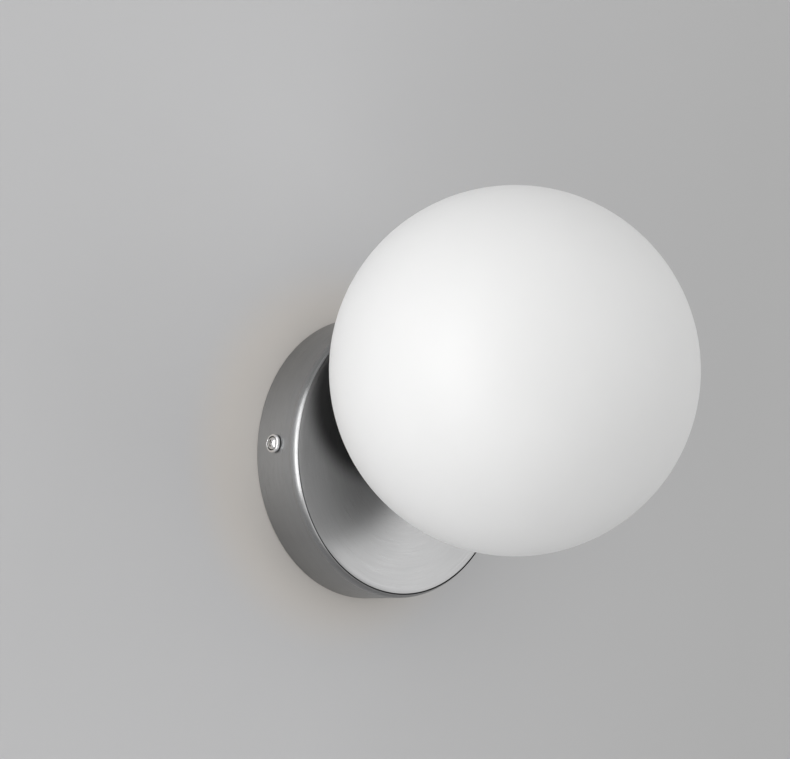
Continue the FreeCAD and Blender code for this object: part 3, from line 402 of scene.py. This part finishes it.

# The rolled edge is burnished smoother than the rest, and has painted shade towards the seam that dims its
# highlight; the side is bluish. Places are in millimetres.
BURNISHED_BY = 0.065
ROLL_BLUR = 1.0
RIM_SHADE_TONE = 0.82
RIM_SHADE_FROM, RIM_SHADE_TO = 0.9, 2.6
SIDE_TINT, NO_TINT = (0.985, 1.0, 1.017, 1.0), (1.0, 1.0, 1.0, 1.0)
past_seam = between(nickel, from_middle, 0.0, 1.0, seam_out - SEAM_BLUR, seam_out)
rolled = between(nickel, out_of_wall, 1.0, 0.0, -MM * (RIM_ARC_DEPTH + ROLL_BLUR),
                 -MM * (RIM_ARC_DEPTH - ROLL_BLUR))
rim_shaded_band = between(nickel, out_of_wall, 1.0, 0.0, -MM * (RIM_ARC_DEPTH + RIM_SHADE_TO),
                 -MM * (RIM_ARC_DEPTH + RIM_SHADE_FROM))
smoother = number(nickel, "MULTIPLY", number(nickel, "MULTIPLY", rolled, past_seam), BURNISHED_BY)
# Painted shade on the rolled edge, where the lamps' highlight falls.
rim_painted_shade = between(nickel, number(nickel, "MULTIPLY", rim_shaded_band, past_seam), 1.0, RIM_SHADE_TONE, 0.0, 1.0)
tone = number(nickel, "MULTIPLY", number(nickel, "MULTIPLY", shade, seam_shadow), rim_painted_shade)
tint = node(nickel, "Mix", {0: rolled, 6: SIDE_TINT, 7: NO_TINT}, data_type="RGBA").outputs[2]


def driven(finish, word):
    """The output that drives a socket of the finish's shader."""
    return finish.node_tree.nodes["Principled BSDF"].inputs[word].links[0].from_socket


tinted = vector(nickel, "MULTIPLY", driven(nickel, "Base Color"), tint)
drive(nickel, "Base Color", scaled(nickel, tinted, tone))
drive(nickel, "Roughness", number(nickel, "SUBTRACT", driven(nickel, "Roughness"), smoother))

# The local Z of a turned piece points out of the wall. The holes, in millimetres, are for the collar and
# the side screws; SIDE_SCREW_Y is in metres.
OUT_OF_WALL = Matrix.Rotation(math.radians(90), 4, "X")
collar_low, collar_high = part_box("fitter_collar")
FITTER_X = (collar_low.x + collar_high.x) / 2
FITTER_Z = (collar_low.z + collar_high.z) / 2
OUT_OF_COLLAR = Matrix.Translation((FITTER_X, 0, FITTER_Z)) @ OUT_OF_WALL
COLLAR_HOLE, COLLAR_PUNCH_REACH = 21.7, 5.0
SIDE_HOLE, SIDE_PUNCH_REACH, SIDE_HOLE_CORNERS = 1.8, 70.0, 48
SIDE_SCREW_Y = -0.0112
pan = turned(canopy_profile, PAN_CORNERS)
pan.transform(OUT_OF_WALL)
canopy = new_piece("canopy_shell", pan, nickel, "wall_unit")
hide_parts("canopy")
collar_punch = drill(COLLAR_HOLE, CANOPY_DEPTH - COLLAR_PUNCH_REACH, CANOPY_DEPTH + COLLAR_PUNCH_REACH)
collar_punch.transform(OUT_OF_COLLAR)
punched(canopy, collar_punch)
side_punch = drill(SIDE_HOLE, -SIDE_PUNCH_REACH, SIDE_PUNCH_REACH, SIDE_HOLE_CORNERS)
side_punch.transform(Matrix.Translation((0, SIDE_SCREW_Y, 0)) @ Matrix.Rotation(math.radians(90), 4, "Y"))
punched(canopy, side_punch)


# The collar is turned from steel bar and satin plated. Its flange bears on the canopy's face and the ring
# nut behind draws it tight. A rolled thread of coarse pitch inside takes the glass neck.

plated = brushed("plated_collar", (0.50, 0.50, 0.495), (0.43, 0.43, 0.425), 0.26, 0.5,
                 (FITTER_X, 0.0, FITTER_Z))
wear(nodes["fitter_collar"], plated)

# The thread, in metres; a ridge's section is in shares of its width and height.
GLASS_PITCH = 0.004
BORE, BORE_CREST = 0.0195, 0.0191
BORE_THREAD_START, BORE_THREAD_STOP, BORE_THREAD_WIDTH = 0.0142, 0.0240, 0.0016
RIDGE_SECTION = [(-0.5, 0.0), (-0.3, 0.6), (-0.12, 0.95), (0.0, 1.0), (0.12, 0.95), (0.3, 0.6), (0.5, 0.0)]
RUN_OUTS_PER_TURN = 3.0


def thread(name, valley, crest, pitch, start, stop, width, finish, body, axis, begin=0.0,
           steps_per_turn=96):
    """A screw thread's ridge as one closed strip round an axis; valley and crest are its two radii."""
    steps = int((stop - start) / pitch * steps_per_turn)
    mesh = bmesh.new()
    rows = []
    for step in range(steps + 1):
        angle = begin + 2 * math.pi * step / steps_per_turn
        height = start + (stop - start) * step / steps
        fade = min(1.0, RUN_OUTS_PER_TURN * min(step, steps - step) / steps_per_turn)
        row = []
        for offset, rise in RIDGE_SECTION:
            radius = valley + (crest - valley) * rise * fade
            spot = (radius * math.cos(angle), radius * math.sin(angle), height + offset * width)
            row.append(mesh.verts.new(spot))
        rows.append(row)
    for first, second in zip(rows, rows[1:]):
        for i in range(len(RIDGE_SECTION)):
            after = (i + 1) % len(RIDGE_SECTION)
            mesh.faces.new((first[i], first[after], second[after], second[i]))
    mesh.faces.new(rows[0])
    mesh.faces.new(reversed(rows[-1]))
    bmesh.ops.recalc_face_normals(mesh, faces=mesh.faces)
    mesh.transform(axis)
    new_piece(name, mesh, finish, body)


thread("collar_thread", BORE, BORE_CREST, GLASS_PITCH, BORE_THREAD_START, BORE_THREAD_STOP,
       BORE_THREAD_WIDTH, plated, "wall_unit", OUT_OF_COLLAR, begin=math.pi)


# The lampholder is glazed ceramic, gripped by two lugs of a steel strap that is screwed to the collar's
# floor. Its spring contacts sit in two cavities behind the slot for the bulb's tongue.

ceramic = new_finish("glazed_ceramic", (0.86, 0.85, 0.81), Roughness=0.22, Coat_Weight=0.4,
                     Coat_Roughness=0.08)
ceramic_specks = patches(ceramic, 1100.0, 8.0)
drive(ceramic, "Base Color", two_tone(ceramic, ceramic_specks, (0.83, 0.815, 0.77), (0.88, 0.87, 0.835)))
drive(ceramic, "Roughness", between(ceramic, ceramic_specks, 0.18, 0.30))
relief(ceramic, patches(ceramic, 420.0), 0.00004)
wear(nodes["lampholder_body"], ceramic)
wear(nodes["lampholder_contacts"], spring)


# The capsule bulb plugs into the holder with two wire loops. A frosted cover closes over a metal column
# that carries rows of yellow light chips; the cover is glued on the moulded base.

base_plastic = new_finish("bulb_plastic", (0.88, 0.88, 0.86), Roughness=0.32, Subsurface_Weight=0.05,
                          Subsurface_Scale=0.001)
base_cloud = patches(base_plastic, 800.0)
drive(base_plastic, "Base Color",
      two_tone(base_plastic, base_cloud, (0.86, 0.86, 0.835), (0.895, 0.895, 0.88)))
drive(base_plastic, "Roughness", between(base_plastic, base_cloud, 0.27, 0.38))
relief(base_plastic, base_cloud, 0.00002)
wear(nodes["bulb_base"], base_plastic)
wear(nodes["bulb_pins"], spring)

frosted = new_finish("frosted_cover", (0.90, 0.90, 0.87), Roughness=0.55, Transmission_Weight=0.55,
                     IOR=1.49)
frost = patches(frosted, 3500.0)
drive(frosted, "Roughness", between(frosted, frost, 0.48, 0.64))
relief(frosted, frost, 0.00002)
wear(nodes["bulb_cover"], frosted)

core_metal = new_finish("core_metal", (0.80, 0.80, 0.78), Metallic=1.0, Roughness=0.38)
core_grain = grain(core_metal, (700.0, 60.0, 700.0))
drive(core_metal, "Roughness", between(core_metal, core_grain, 0.30, 0.46))
relief(core_metal, core_grain, 0.00001)
wear(nodes["bulb_light_core"], core_metal)

phosphor = new_finish("phosphor", (0.86, 0.66, 0.16), Roughness=0.5, Subsurface_Weight=0.2,
                      Subsurface_Scale=0.0005)
phosphor_grain = patches(phosphor, 6000.0)
drive(phosphor, "Base Color", two_tone(phosphor, phosphor_grain, (0.82, 0.60, 0.12), (0.89, 0.71, 0.22)))
relief(phosphor, phosphor_grain, 0.00001)

CHIP_WIDTH, CHIP_HEIGHT, CHIP_RISE, CHIP_PROUD = 0.0022, 0.0028, 0.0007, 0.4
CHIP_ROWS, FIRST_CHIP, CHIP_STEP = 6, 0.0035, 0.0043
CHIP_ROUND = 0.00018
COLUMN_RADIUS = 0.0045
COLUMN_FACE = COLUMN_RADIUS / math.sqrt(2)
core_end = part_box("bulb_light_core")[1].y
chips = bmesh.new()
for side in range(4):
    for row in range(CHIP_ROWS):
        spot = (0, COLUMN_FACE + CHIP_RISE * CHIP_PROUD, FIRST_CHIP + row * CHIP_STEP)
        chip = bmesh.ops.create_cube(chips, size=1.0)["verts"]
        bmesh.ops.scale(chips, vec=(CHIP_WIDTH, CHIP_RISE, CHIP_HEIGHT), verts=chip)
        bmesh.ops.translate(chips, vec=spot, verts=chip)
        bmesh.ops.rotate(chips, verts=chip, matrix=Matrix.Rotation(side * math.pi / 2, 3, "Z"))
bmesh.ops.bevel(chips, geom=list(chips.edges), offset=CHIP_ROUND, segments=2, affect="EDGES")
chips.transform(Matrix.Translation((0, core_end, 0)) @ OUT_OF_COLLAR)
new_piece("bulb_light_chips", chips, phosphor, "bulb")


# The sealing ring is cut from milky silicone. It lies on the collar's flange, and the glass shoulder comes
# down on it when the globe is screwed home.

silicone = new_finish("clear_silicone", (0.74, 0.74, 0.72), Roughness=0.42, Transmission_Weight=0.35,
                      IOR=1.41, Subsurface_Weight=0.2, Subsurface_Scale=0.001)
silicone_cloud = patches(silicone, 260.0)
drive(silicone, "Base Color", two_tone(silicone, silicone_cloud, (0.70, 0.70, 0.685), (0.78, 0.78, 0.76)))
drive(silicone, "Roughness", between(silicone, silicone_cloud, 0.36, 0.50))
relief(silicone, patches(silicone, 2200.0), 0.00002)
wear(nodes["globe_seal"], silicone)


# The globe is blown from white opal glass and acid-etched to a satin surface. A coarse thread is pressed
# into its short neck, which screws into the collar.

NECK, NECK_CREST = 0.0189, 0.0193
NECK_THREAD_START, NECK_THREAD_STOP, NECK_THREAD_WIDTH = 0.0162, 0.0252, 0.0019

opal = new_finish("opal_glass", (0.90, 0.90, 0.895), Roughness=0.46, Subsurface_Weight=0.25,
                  Subsurface_Radius=(1.0, 1.0, 1.0), Subsurface_Scale=0.002, IOR=1.5)
opal_cloud = patches(opal, 30.0)
opal_etch = patches(opal, 3000.0)
drive(opal, "Base Color", two_tone(opal, opal_cloud, (0.893, 0.893, 0.888), (0.905, 0.905, 0.90)))
drive(opal, "Roughness", between(opal, opal_etch, 0.43, 0.50))
relief(opal, opal_etch, 0.000004)
wear(nodes["globe"], opal)
thread("neck_thread", NECK, NECK_CREST, GLASS_PITCH, NECK_THREAD_START, NECK_THREAD_STOP,
       NECK_THREAD_WIDTH, opal, "globe", OUT_OF_COLLAR)


# A raised countersunk screw with a cross recess goes through each side of the canopy into the crossbar's
# ear. Its head sinks into a turned cup washer. Both are brass under bright chrome; the washer's cup and
# foot are coloured dark, as painted shade in the hollow round the head and painted shadow along the foot.

# Cup, head, screw and recess, in millimetres from the cup's seat and in degrees.
CUP_OUTER, CUP_HEIGHT, CUP_BORE, CUP_FLOOR, CUP_EDGE = 3.9, 1.8, 1.8, 0.4, 0.15
CUP_CREST, CUP_ROLL, CUP_LIP = 3.15, 0.75, 0.25
CUP_MOUTH = CUP_CREST - CUP_LIP
LIP_FROM, LIP_TO = 100, 190
ROLL_STEPS, LIP_STEPS, DOME_STEPS = 12, 8, 10
HEAD, HEAD_EDGE, HEAD_TOP = 2.6, 1.55, 2.7
HEAD_CHAMFER, HEAD_CHAMFER_DOWN = 0.08, 0.12
SCREW_CREST, SCREW_ROOT, SCREW_PITCH, SCREW_END = 1.5, 1.2, 0.5, -6.2
POINT_LENGTH, POINT_TAPER = 0.4, 0.3
RIDGE_SUNK, RIDGE_OFF_END, RIDGE_STOP, RIDGE_WIDTH = 0.02, 0.5, -0.1, 0.9
RECESS_SPAN, RECESS_WIDTH, RECESS_DEPTH, RECESS_TAPER = 3.0, 0.75, 1.3, 0.45
MOUTH_SHADE_BLUR = 0.1

# The cup's seat on the canopy's side and the painted shadow along its foot, in metres.
CUP_GAP = 0.0001
CUP_SEAT = MM * CANOPY_RADIUS + CUP_GAP
FOOT_SHADOW_HEIGHT, FOOT_SHADOW_BLUR = 0.0005, 0.0001


def recess_slot(axis, quarter):
    """One tapered slot of a driver's cross recess."""
    slot = bmesh.new()
    bmesh.ops.create_cube(slot, size=1.0)
    for corner in slot.verts:
        narrow = 1.0 if corner.co.z > 0 else RECESS_TAPER
        corner.co = Vector((MM * RECESS_SPAN * narrow * corner.co.x, MM * RECESS_WIDTH * corner.co.y,
                            MM * (HEAD_TOP + RECESS_DEPTH * (corner.co.z - 0.5) * 2)))
    slot.transform(axis @ Matrix.Rotation(math.radians(quarter), 4, "Z"))
    return slot


chrome = new_finish("bright_chrome", (0.86, 0.86, 0.86), Metallic=1.0, Roughness=0.10)
chrome_wipe = patches(chrome, 900.0, 6.0)
drive(chrome, "Base Color", two_tone(chrome, chrome_wipe, (0.83, 0.83, 0.835), (0.89, 0.89, 0.885)))
drive(chrome, "Roughness", between(chrome, chrome_wipe, 0.13, 0.22))
relief(chrome, chrome_wipe, 0.000004)

cup_chrome = new_finish("cup_chrome", (0.86, 0.86, 0.86), Metallic=1.0, Roughness=0.10)
cup_wipe = patches(cup_chrome, 900.0, 6.0)
# Painted shade: the cup's hollow round the head and a band along its foot are coloured dark.
sideways = number(cup_chrome, "ABSOLUTE", along(cup_chrome, "X"))
above_foot_shadow = between(cup_chrome, sideways, 0.0, 1.0, CUP_SEAT + FOOT_SHADOW_HEIGHT, CUP_SEAT + FOOT_SHADOW_HEIGHT + FOOT_SHADOW_BLUR)
cup_reach = reach(cup_chrome, (0.0, SIDE_SCREW_Y, 0.0), (0.0, 1.0, 1.0))
past_mouth_shade = between(cup_chrome, cup_reach, 0.0, 1.0, MM * CUP_MOUTH, MM * (CUP_MOUTH + MOUTH_SHADE_BLUR))
unshaded_chrome = between(cup_chrome, number(cup_chrome, "MULTIPLY", above_foot_shadow, past_mouth_shade),
                 CLOUD_LOW, CLOUD_HIGH, 0.0, 1.0)
drive(cup_chrome, "Base Color", two_tone(cup_chrome, unshaded_chrome, (0.05, 0.05, 0.05), (0.95, 0.95, 0.95)))
drive(cup_chrome, "Roughness", between(cup_chrome, cup_wipe, 0.17, 0.27))
relief(cup_chrome, cup_wipe, 0.000004)

cup_profile = [(CUP_BORE, 0.0), (CUP_OUTER - CUP_EDGE, 0.0), (CUP_OUTER, CUP_EDGE)]
cup_profile += arc(CUP_CREST, CUP_HEIGHT - CUP_ROLL, CUP_ROLL, 0, 90, ROLL_STEPS)
cup_profile += arc(CUP_CREST, CUP_HEIGHT - CUP_LIP, CUP_LIP, LIP_FROM, LIP_TO, LIP_STEPS)
cup_profile += [(CUP_BORE, CUP_FLOOR)]
dome = (HEAD ** 2 + (HEAD_TOP - HEAD_EDGE) ** 2) / (2 * (HEAD_TOP - HEAD_EDGE))
dome_reach = math.degrees(math.asin(HEAD / dome))
screw_profile = [(0.0, HEAD_TOP)]
screw_profile += arc(0.0, HEAD_TOP - dome, dome, 90 - dome_reach / DOME_STEPS, 90 - dome_reach,
                     DOME_STEPS - 1)
screw_profile += [(HEAD - HEAD_CHAMFER, HEAD_EDGE - HEAD_CHAMFER_DOWN), (SCREW_CREST, CUP_FLOOR),
                  (SCREW_ROOT, 0.0), (SCREW_ROOT, SCREW_END + POINT_LENGTH),
                  (SCREW_ROOT - POINT_TAPER, SCREW_END), (0.0, SCREW_END)]
for side, outward in (("left", -1), ("right", 1)):
    axis = Matrix.Translation((outward * CUP_SEAT, SIDE_SCREW_Y, 0))
    axis = axis @ Matrix.Rotation(math.radians(90 * outward), 4, "Y")
    cup = turned(cup_profile)
    cup.transform(axis)
    washer = new_piece(f"cup_washer_{side}", cup, cup_chrome, f"washer_{side}")
    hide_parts(f"side_washer_{side}")
    blank = turned(screw_profile)
    blank.transform(axis)
    screw = new_piece(f"cross_screw_{side}", blank, chrome, f"screw_{side}")
    for quarter in (0, 90):
        punched(screw, recess_slot(axis, quarter))
    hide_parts(f"side_screw_{side}")
    thread(f"screw_thread_{side}", MM * (SCREW_ROOT - RIDGE_SUNK), MM * SCREW_CREST, MM * SCREW_PITCH,
           MM * (SCREW_END + RIDGE_OFF_END), MM * RIDGE_STOP, MM * SCREW_PITCH * RIDGE_WIDTH, chrome,
           f"screw_{side}", axis, steps_per_turn=32)


# The wall is plain matt paint with painted light on it: paler on the lamp's left, for the lamps' fall-off,
# and a painted glow, yellower and paler, close round the canopy, with a round hole behind it as for a
# wiring box. It can't be seen from behind, so that the back of the lamp can be looked at. A pale floor lies
# well below the lamp.

WALL_WIDTH = 1.8
FLOOR_SIDE = 6.0
WALL_BEHIND = 0.0003
WALL_HOLE = 0.057
WALL_CORNERS = 64
FLOOR_DROP = 1.5
PAINTED_LIGHT_UP_TO, PAINTED_FALLOFF_FROM = -0.03, 0.25
# The painted glow, as the places on the canopy's face: middle across and up, full within, gone beyond, and
# tone.
PAINTED_GLOW_PLACE = (-14.0, -1.0, 60.0, 88.0, 0.0)
PAINTED_GLOW_COLOUR = (0.705, 0.673, 0.637, 1.0)


def matt_paint(name, colour):
    """Matt paint that can't be seen from behind."""
    paint = new_finish(name, colour, Roughness=0.9, Specular_IOR_Level=0.2)
    shader = paint.node_tree.nodes["Principled BSDF"].outputs[0]
    behind = node(paint, "NewGeometry").outputs["Backfacing"]
    nothing = node(paint, "BsdfTransparent").outputs[0]
    shown = node(paint, "MixShader", {0: behind, 1: shader, 2: nothing}).outputs[0]
    paint.node_tree.links.new(shown, paint.node_tree.nodes["Material Output"].inputs["Surface"])
    return paint


def sheet(name, paint, corners, faces):
    """A flat sheet of the studio."""
    data = bpy.data.meshes.new(name)
    data.from_pydata(corners, [], faces)
    data.materials.append(paint)
    made = bpy.data.objects.new(name, data)
    bpy.context.scene.collection.objects.link(made)


wall_paint = matt_paint("wall_paint", (0.650, 0.650, 0.656))
# Painted light: the wall is paler on the left and falls off to the right, and is paler and yellower round
# the canopy.
painted_falloff = between(wall_paint, along(wall_paint, "X"), CLOUD_LOW, CLOUD_HIGH, PAINTED_LIGHT_UP_TO, PAINTED_FALLOFF_FROM)
wall_painted_falloff = two_tone(wall_paint, painted_falloff, (0.650, 0.650, 0.656), (0.572, 0.572, 0.572))
painted_glow = number(wall_paint, "SUBTRACT", 1.0, tone_at(wall_paint, *PAINTED_GLOW_PLACE))
wall_painted_light = node(wall_paint, "Mix", {0: painted_glow, 6: wall_painted_falloff, 7: PAINTED_GLOW_COLOUR}, data_type="RGBA").outputs[2]
drive(wall_paint, "Base Color", wall_painted_light)
hole_edge, wall_edge, wall_faces = [], [], []
for corner in range(WALL_CORNERS):
    angle = 2 * math.pi * (corner + 0.5) / WALL_CORNERS
    x, z = math.cos(angle), math.sin(angle)
    edge_reach = min(WALL_WIDTH / 2 / abs(x), FLOOR_DROP / abs(z))
    hole_edge.append((WALL_HOLE * x, WALL_BEHIND, WALL_HOLE * z))
    wall_edge.append((edge_reach * x, WALL_BEHIND, edge_reach * z))
    after = (corner + 1) % WALL_CORNERS
    wall_faces.append((corner, corner + WALL_CORNERS, after + WALL_CORNERS, after))
sheet("wall", wall_paint, hole_edge + wall_edge, wall_faces)

floor_paint = matt_paint("floor_paint", (0.615, 0.615, 0.615))
floor_cloud = patches(floor_paint, 2.5, 2.0)
floor_tone = two_tone(floor_paint, floor_cloud, (0.615, 0.615, 0.615), (0.625, 0.625, 0.625))
drive(floor_paint, "Base Color", floor_tone)
floor_half = FLOOR_SIDE / 2
floor_corners = [(-floor_half, -FLOOR_SIDE, -FLOOR_DROP), (floor_half, -FLOOR_SIDE, -FLOOR_DROP)]
floor_corners += [(floor_half, WALL_BEHIND, -FLOOR_DROP), (-floor_half, WALL_BEHIND, -FLOOR_DROP)]
sheet("floor", floor_paint, floor_corners, [(0, 1, 2, 3)])


# The light is a plain studio: an even pale room, and soft lamps round the object. Four narrow ones stand at
# the left close to the wall and one high at the left; they draw the bright line along the rim. The wide
# ones below, above in front and at the right are weaker and keep the far side of the globe open.

AROUND_LAMP = Vector((-0.01, -0.06, 0.03))
LAMP_AWAY = 1.6
LAMP_SIZE, NARROW = 1.2, 0.6
ROOM_TONE = (0.50, 0.50, 0.50, 1.0)


def soft_lamp(name, direction, watts, width=LAMP_SIZE):
    """A soft lamp that looks at the middle of the object; a narrow one is as high as the others."""
    data = bpy.data.lights.new(name, "AREA")
    data.shape = "ELLIPSE"
    data.size = width
    data.size_y = LAMP_SIZE
    data.energy = watts
    lamp = bpy.data.objects.new(name, data)
    towards = Vector(direction).normalized()
    lamp.location = AROUND_LAMP + towards * LAMP_AWAY
    lamp.rotation_mode = "QUATERNION"
    lamp.rotation_quaternion = towards.to_track_quat("Z", "Y")
    bpy.context.scene.collection.objects.link(lamp)


soft_lamp("left_lamp", (-0.975, -0.18, 0.14), 1.5, NARROW)
soft_lamp("upper_left_lamp", (-0.92, -0.16, 0.36), 4.2, NARROW)
soft_lamp("lower_left_lamp", (-0.945, -0.20, -0.20), 4.95, NARROW)
soft_lamp("low_left_lamp", (-0.89, -0.20, -0.42), 1.8, NARROW)
soft_lamp("under_lamp", (-0.50, -0.50, -0.70), 2.8)
soft_lamp("high_left_lamp", (-0.50, -0.38, 0.78), 1.1, NARROW)
soft_lamp("upper_front_lamp", (0.0, -0.60, 0.80), 0.9)
soft_lamp("upper_right_lamp", (0.70, -0.50, 0.50), 2.55)
soft_lamp("right_lamp", (0.70, -0.70, 0.0), 2.5)
soft_lamp("lower_right_lamp", (0.80, -0.30, -0.50), 1.0)

room = bpy.data.worlds.new("room")
room.use_nodes = True
bpy.context.scene.world = room
room.node_tree.nodes["Background"].inputs["Color"].default_value = ROOM_TONE
room.node_tree.nodes["Background"].inputs["Strength"].default_value = 1.0


# The camera stands to the left of the lamp and a little below it, as in the photograph, and looks up at it.
# Its place, roll and long lens come from the outlines of the canopy's rim and the globe.

CAMERA_ROUND = math.radians(-41.951)
CAMERA_UP = math.radians(-6.723)
CAMERA_ROLL = math.radians(2.599)
CAMERA_AWAY = 1.2637
LOOKED_AT = Vector((-0.01179, -0.030, 0.03113))
SENSOR_WIDTH = 36.0
FOCAL_PIXELS, PICTURE_PIXELS = 3000, 790
LENS = SENSOR_WIDTH * FOCAL_PIXELS / PICTURE_PIXELS

back = Vector((math.sin(CAMERA_ROUND) * math.cos(CAMERA_UP), -math.cos(CAMERA_ROUND) * math.cos(CAMERA_UP),
               math.sin(CAMERA_UP)))
level_right = Vector((0, 0, 1)).cross(back).normalized()
level_up = back.cross(level_right)
camera_right = math.cos(CAMERA_ROLL) * level_right + math.sin(CAMERA_ROLL) * level_up
camera_up = math.cos(CAMERA_ROLL) * level_up - math.sin(CAMERA_ROLL) * level_right
camera_data = bpy.data.cameras.new("camera")
camera_data.lens = LENS
camera_data.sensor_width = SENSOR_WIDTH
camera = bpy.data.objects.new("camera", camera_data)
camera.matrix_world = Matrix.LocRotScale(LOOKED_AT + CAMERA_AWAY * back,
                                         Matrix((camera_right, camera_up, back)).transposed(), None)
bpy.context.scene.collection.objects.link(camera)
bpy.context.scene.camera = camera
bpy.context.scene.view_settings.view_transform = "Standard"
